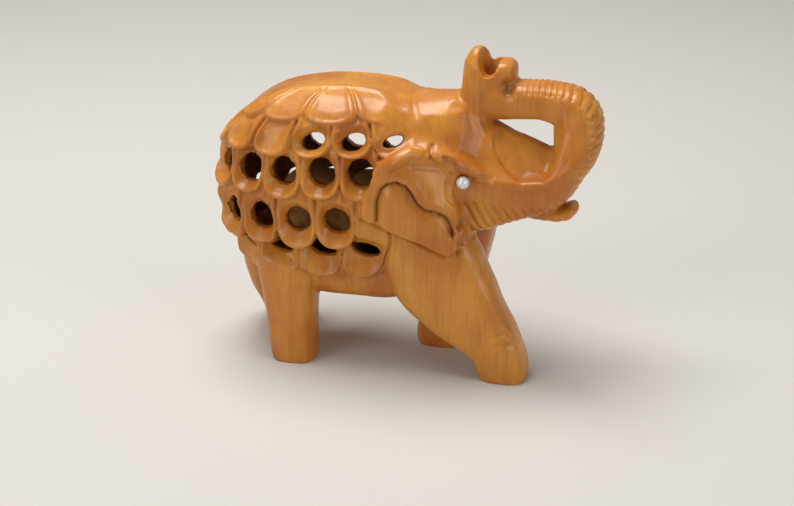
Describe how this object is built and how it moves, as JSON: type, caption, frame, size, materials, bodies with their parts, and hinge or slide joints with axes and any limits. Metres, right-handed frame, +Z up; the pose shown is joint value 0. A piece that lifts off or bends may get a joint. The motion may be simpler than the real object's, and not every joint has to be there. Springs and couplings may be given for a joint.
{
  "type": "carved wooden elephant figurine",
  "caption": "Carved wooden elephant standing in a walking pose, trunk curled up and back over its head, with a pierced fish-scale body and a smaller elephant loose inside it.",
  "frame": {"origin": "on the floor, under the middle of the figure's outline", "axes": "+X forward towards the head, +Y to the elephant's left, +Z up"},
  "size_m": [0.1004, 0.0412, 0.0838],
  "materials": {
    "varnished_wood": "satin varnish over carved light hardwood",
    "bare_wood": "knife-cut bare wood",
    "pearl_bead": "pearly gloss"
  },
  "bodies": {
    "elephant": {"carved_elephant": "varnished_wood", "right_eye": "pearl_bead", "left_eye": "pearl_bead"},
    "calf": {"inner_calf": "bare_wood"}
  },
  "joints": [
    {"name": "calf_slide", "type": "slide", "parent": "elephant", "child": "calf", "axis": [1, 0, 0], "range_m": [-0.0045, 0.0045]}
  ]
}
